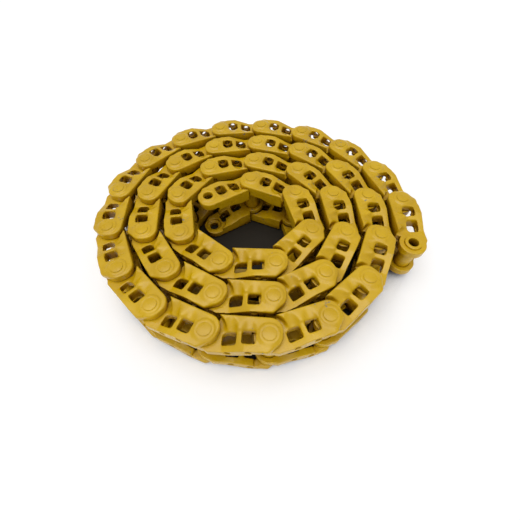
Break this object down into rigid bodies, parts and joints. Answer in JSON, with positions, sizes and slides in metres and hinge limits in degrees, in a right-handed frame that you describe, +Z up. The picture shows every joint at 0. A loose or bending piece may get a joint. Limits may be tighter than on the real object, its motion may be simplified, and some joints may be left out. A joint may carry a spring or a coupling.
{
  "type": "excavator track chain",
  "caption": "Excavator track chain of joggled forged links with pressed pins and bushings, rolled into a coil on its side, hinged at every pin so that it rolls out straight.",
  "frame": {"origin": "middle of the coil's box on the plane that it lies on", "axes": "+Z up along the pins; -Y along the outer end link, from its pin to its open bushing; +X out of that link's shoe face"},
  "size_m": [1.2036, 1.1082, 0.208],
  "materials": {
    "link_paint": "gloss paint over forged steel",
    "pin_paint": "gloss paint over turned steel",
    "seal_rubber": "matt"
  },
  "bodies": {
    "section_00": {"inner_end_upper_link": "link_paint", "inner_end_lower_link": "link_paint", "inner_end_bushing": "pin_paint"},
    "section_01": {"pitch_01": "link_paint"},
    "section_02": {"pitch_02": "link_paint"},
    "section_03": {"pitch_03": "link_paint"},
    "section_04": {"pitch_04": "link_paint"},
    "section_05": {"pitch_05": "link_paint"},
    "section_06": {"pitch_06": "link_paint"},
    "section_07": {"pitch_07": "link_paint"},
    "section_08": {"pitch_08": "link_paint"},
    "section_09": {"pitch_09": "link_paint"},
    "section_10": {"pitch_10": "link_paint"},
    "section_11": {"pitch_11": "link_paint"},
    "section_12": {"pitch_12": "link_paint"},
    "section_13": {"pitch_13": "link_paint"},
    "section_14": {"pitch_14": "link_paint"},
    "section_15": {"pitch_15": "link_paint"},
    "section_16": {"pitch_16": "link_paint"},
    "section_17": {"pitch_17": "link_paint"},
    "section_18": {"pitch_18": "link_paint"},
    "section_19": {"pitch_19": "link_paint"},
    "section_20": {"pitch_20": "link_paint"},
    "section_21": {"pitch_21": "link_paint"},
    "section_22": {"pitch_22": "link_paint"},
    "section_23": {"pitch_23": "link_paint"},
    "section_24": {"pitch_24": "link_paint"},
    "section_25": {"pitch_25": "link_paint"},
    "section_26": {"pitch_26": "link_paint"},
    "section_27": {"pitch_27": "link_paint"},
    "section_28": {"pitch_28": "link_paint"},
    "section_29": {"pitch_29": "link_paint"},
    "section_30": {"pitch_30": "link_paint"},
    "section_31": {"pitch_31": "link_paint"},
    "section_32": {"pitch_32": "link_paint"},
    "section_33": {"pitch_33": "link_paint"},
    "section_34": {"pitch_34": "link_paint"},
    "section_35": {"pitch_35": "link_paint"},
    "section_36": {"pitch_36": "link_paint"},
    "section_37": {"pitch_37": "link_paint"},
    "section_38": {"upper_link_38": "link_paint", "lower_link_38": "link_paint", "bushing_38": "pin_paint", "pin_38": "pin_paint", "seals_38": "seal_rubber"},
    "section_39": {"upper_link_39": "link_paint", "lower_link_39": "link_paint", "bushing_39": "pin_paint", "pin_39": "pin_paint", "seals_39": "seal_rubber"},
    "section_40": {"upper_link_40": "link_paint", "lower_link_40": "link_paint", "bushing_40": "pin_paint", "pin_40": "pin_paint", "seals_40": "seal_rubber"},
    "section_41": {"upper_link_41": "link_paint", "lower_link_41": "link_paint", "bushing_41": "pin_paint", "pin_41": "pin_paint", "seals_41": "seal_rubber"}
  },
  "joints": [
    {"name": "hinge_01", "type": "hinge", "parent": "section_01", "child": "section_00", "pos_m": [-0.02772, 0.14498, 0.104], "axis": [0, 0, -1], "range_deg": [0, 54.47]},
    {"name": "hinge_02", "type": "hinge", "parent": "section_02", "child": "section_01", "pos_m": [0.1455, 0.06691, 0.104], "axis": [0, 0, -1], "range_deg": [0, 51.41]},
    {"name": "hinge_03", "type": "hinge", "parent": "section_03", "child": "section_02", "pos_m": [0.19252, -0.11718, 0.104], "axis": [0, 0, -1], "range_deg": [0, 59.39]},
    {"name": "hinge_04", "type": "hinge", "parent": "section_04", "child": "section_03", "pos_m": [0.05803, -0.25138, 0.104], "axis": [0, 0, -1], "range_deg": [0, 47.82]},
    {"name": "hinge_05", "type": "hinge", "parent": "section_05", "child": "section_04", "pos_m": [-0.13174, -0.24183, 0.104], "axis": [0, 0, -1], "range_deg": [0, 36.13]},
    {"name": "hinge_06", "type": "hinge", "parent": "section_06", "child": "section_05", "pos_m": [-0.27938, -0.12225, 0.104], "axis": [0, 0, -1], "range_deg": [0, 41.48]},
    {"name": "hinge_07", "type": "hinge", "parent": "section_07", "child": "section_06", "pos_m": [-0.31078, 0.06514, 0.104], "axis": [0, 0, -1], "range_deg": [0, 45.3]},
    {"name": "hinge_08", "type": "hinge", "parent": "section_08", "child": "section_07", "pos_m": [-0.19967, 0.21927, 0.104], "axis": [0, 0, -1], "range_deg": [0, 40.72]},
    {"name": "hinge_09", "type": "hinge", "parent": "section_09", "child": "section_08", "pos_m": [-0.01491, 0.26359, 0.104], "axis": [0, 0, -1], "range_deg": [0, 32.27]},
    {"name": "hinge_10", "type": "hinge", "parent": "section_10", "child": "section_09", "pos_m": [0.16497, 0.20242, 0.104], "axis": [0, 0, -1], "range_deg": [0, 30.21]},
    {"name": "hinge_11", "type": "hinge", "parent": "section_11", "child": "section_10", "pos_m": [0.28964, 0.05904, 0.104], "axis": [0, 0, -1], "range_deg": [0, 34.37]},
    {"name": "hinge_12", "type": "hinge", "parent": "section_12", "child": "section_11", "pos_m": [0.31159, -0.12969, 0.104], "axis": [0, 0, -1], "range_deg": [0, 36.49]},
    {"name": "hinge_13", "type": "hinge", "parent": "section_13", "child": "section_12", "pos_m": [0.21701, -0.29448, 0.104], "axis": [0, 0, -1], "range_deg": [0, 34.49]},
    {"name": "hinge_14", "type": "hinge", "parent": "section_14", "child": "section_13", "pos_m": [0.04574, -0.37674, 0.104], "axis": [0, 0, -1], "range_deg": [0, 29.62]},
    {"name": "hinge_15", "type": "hinge", "parent": "section_15", "child": "section_14", "pos_m": [-0.1438, -0.36361, 0.104], "axis": [0, 0, -1], "range_deg": [0, 25.78]},
    {"name": "hinge_16", "type": "hinge", "parent": "section_16", "child": "section_15", "pos_m": [-0.30877, -0.26934, 0.104], "axis": [0, 0, -1], "range_deg": [0, 26.5]},
    {"name": "hinge_17", "type": "hinge", "parent": "section_17", "child": "section_16", "pos_m": [-0.41435, -0.11138, 0.104], "axis": [0, 0, -1], "range_deg": [0, 29.2]},
    {"name": "hinge_18", "type": "hinge", "parent": "section_18", "child": "section_17", "pos_m": [-0.42945, 0.07802, 0.104], "axis": [0, 0, -1], "range_deg": [0, 30.5]},
    {"name": "hinge_19", "type": "hinge", "parent": "section_19", "child": "section_18", "pos_m": [-0.34634, 0.24888, 0.104], "axis": [0, 0, -1], "range_deg": [0, 29.55]},
    {"name": "hinge_20", "type": "hinge", "parent": "section_20", "child": "section_19", "pos_m": [-0.18977, 0.35653, 0.104], "axis": [0, 0, -1], "range_deg": [0, 26.77]},
    {"name": "unroll", "type": "hinge", "parent": "section_20", "child": "section_21", "pos_m": [-0.00151, 0.38213, 0.104], "axis": [0, 0, 1], "range_deg": [0, 23.61]},
    {"name": "hinge_22", "type": "hinge", "parent": "section_21", "child": "section_22", "pos_m": [0.18125, 0.33017, 0.104], "axis": [0, 0, 1], "range_deg": [0, 22.37]},
    {"name": "hinge_23", "type": "hinge", "parent": "section_22", "child": "section_23", "pos_m": [0.33048, 0.21257, 0.104], "axis": [0, 0, 1], "range_deg": [0, 23.57]},
    {"name": "hinge_24", "type": "hinge", "parent": "section_23", "child": "section_24", "pos_m": [0.42025, 0.04511, 0.104], "axis": [0, 0, 1], "range_deg": [0, 25.33]},
    {"name": "hinge_25", "type": "hinge", "parent": "section_24", "child": "section_25", "pos_m": [0.42975, -0.14465, 0.104], "axis": [0, 0, 1], "range_deg": [0, 26.18]},
    {"name": "hinge_26", "type": "hinge", "parent": "section_25", "child": "section_26", "pos_m": [0.35457, -0.31915, 0.104], "axis": [0, 0, 1], "range_deg": [0, 25.7]},
    {"name": "hinge_27", "type": "hinge", "parent": "section_26", "child": "section_27", "pos_m": [0.21115, -0.44377, 0.104], "axis": [0, 0, 1], "range_deg": [0, 24.04]},
    {"name": "hinge_28", "type": "hinge", "parent": "section_27", "child": "section_28", "pos_m": [0.0294, -0.49916, 0.104], "axis": [0, 0, 1], "range_deg": [0, 21.82]},
    {"name": "hinge_29", "type": "hinge", "parent": "section_28", "child": "section_29", "pos_m": [-0.15991, -0.483, 0.104], "axis": [0, 0, 1], "range_deg": [0, 20.18]},
    {"name": "hinge_30", "type": "hinge", "parent": "section_29", "child": "section_30", "pos_m": [-0.33203, -0.40253, 0.104], "axis": [0, 0, 1], "range_deg": [0, 20.07]},
    {"name": "hinge_31", "type": "hinge", "parent": "section_30", "child": "section_31", "pos_m": [-0.46607, -0.26788, 0.104], "axis": [0, 0, 1], "range_deg": [0, 21.15]},
    {"name": "hinge_32", "type": "hinge", "parent": "section_31", "child": "section_32", "pos_m": [-0.54249, -0.09392, 0.104], "axis": [0, 0, 1], "range_deg": [0, 22.34]},
    {"name": "hinge_33", "type": "hinge", "parent": "section_32", "child": "section_33", "pos_m": [-0.54706, 0.09602, 0.104], "axis": [0, 0, 1], "range_deg": [0, 22.92]},
    {"name": "hinge_34", "type": "hinge", "parent": "section_33", "child": "section_34", "pos_m": [-0.47729, 0.27275, 0.104], "axis": [0, 0, 1], "range_deg": [0, 22.67]},
    {"name": "hinge_35", "type": "hinge", "parent": "section_34", "child": "section_35", "pos_m": [-0.34481, 0.40894, 0.104], "axis": [0, 0, 1], "range_deg": [0, 21.64]},
    {"name": "hinge_36", "type": "hinge", "parent": "section_35", "child": "section_36", "pos_m": [-0.17145, 0.48669, 0.104], "axis": [0, 0, 1], "range_deg": [0, 20.12]},
    {"name": "hinge_37", "type": "hinge", "parent": "section_36", "child": "section_37", "pos_m": [0.01808, 0.50007, 0.104], "axis": [0, 0, 1], "range_deg": [0, 18.67]},
    {"name": "hinge_38", "type": "hinge", "parent": "section_37", "child": "section_38", "pos_m": [0.20192, 0.45208, 0.104], "axis": [0, 0, 1], "range_deg": [0, 17.97]},
    {"name": "hinge_39", "type": "hinge", "parent": "section_38", "child": "section_39", "pos_m": [0.36198, 0.34971, 0.104], "axis": [0, 0, 1], "range_deg": [0, 18.28]},
    {"name": "hinge_40", "type": "hinge", "parent": "section_39", "child": "section_40", "pos_m": [0.48186, 0.2023, 0.104], "axis": [0, 0, 1], "range_deg": [0, 19.15]},
    {"name": "outer_end_swing", "type": "hinge", "parent": "section_40", "child": "section_41", "pos_m": [0.54676, 0.02372, 0.104], "axis": [0, 0, 1], "range_deg": [0, 19.97]}
  ],
  "couplings": [
    {"joint": "hinge_01", "follows": "unroll", "ratio": 2.3069},
    {"joint": "hinge_02", "follows": "unroll", "ratio": 2.1772},
    {"joint": "hinge_03", "follows": "unroll", "ratio": 2.5152},
    {"joint": "hinge_04", "follows": "unroll", "ratio": 2.025},
    {"joint": "hinge_05", "follows": "unroll", "ratio": 1.53},
    {"joint": "hinge_06", "follows": "unroll", "ratio": 1.7567},
    {"joint": "hinge_07", "follows": "unroll", "ratio": 1.9184},
    {"joint": "hinge_08", "follows": "unroll", "ratio": 1.7245},
    {"joint": "hinge_09", "follows": "unroll", "ratio": 1.3667},
    {"joint": "hinge_10", "follows": "unroll", "ratio": 1.2795},
    {"joint": "hinge_11", "follows": "unroll", "ratio": 1.4557},
    {"joint": "hinge_12", "follows": "unroll", "ratio": 1.5452},
    {"joint": "hinge_13", "follows": "unroll", "ratio": 1.4606},
    {"joint": "hinge_14", "follows": "unroll", "ratio": 1.2544},
    {"joint": "hinge_15", "follows": "unroll", "ratio": 1.0918},
    {"joint": "hinge_16", "follows": "unroll", "ratio": 1.1221},
    {"joint": "hinge_17", "follows": "unroll", "ratio": 1.2366},
    {"joint": "hinge_18", "follows": "unroll", "ratio": 1.2915},
    {"joint": "hinge_19", "follows": "unroll", "ratio": 1.2514},
    {"joint": "hinge_20", "follows": "unroll", "ratio": 1.1336},
    {"joint": "hinge_22", "follows": "unroll", "ratio": 0.94731},
    {"joint": "hinge_23", "follows": "unroll", "ratio": 0.99798},
    {"joint": "hinge_24", "follows": "unroll", "ratio": 1.0726},
    {"joint": "hinge_25", "follows": "unroll", "ratio": 1.1085},
    {"joint": "hinge_26", "follows": "unroll", "ratio": 1.0883},
    {"joint": "hinge_27", "follows": "unroll", "ratio": 1.0182},
    {"joint": "hinge_28", "follows": "unroll", "ratio": 0.92425},
    {"joint": "hinge_29", "follows": "unroll", "ratio": 0.85462},
    {"joint": "hinge_30", "follows": "unroll", "ratio": 0.84997},
    {"joint": "hinge_31", "follows": "unroll", "ratio": 0.89586},
    {"joint": "hinge_32", "follows": "unroll", "ratio": 0.94609},
    {"joint": "hinge_33", "follows": "unroll", "ratio": 0.97061},
    {"joint": "hinge_34", "follows": "unroll", "ratio": 0.95991},
    {"joint": "hinge_35", "follows": "unroll", "ratio": 0.91627},
    {"joint": "hinge_36", "follows": "unroll", "ratio": 0.85189},
    {"joint": "hinge_37", "follows": "unroll", "ratio": 0.79059},
    {"joint": "hinge_38", "follows": "unroll", "ratio": 0.76117},
    {"joint": "hinge_39", "follows": "unroll", "ratio": 0.77404},
    {"joint": "hinge_40", "follows": "unroll", "ratio": 0.81087}
  ]
}
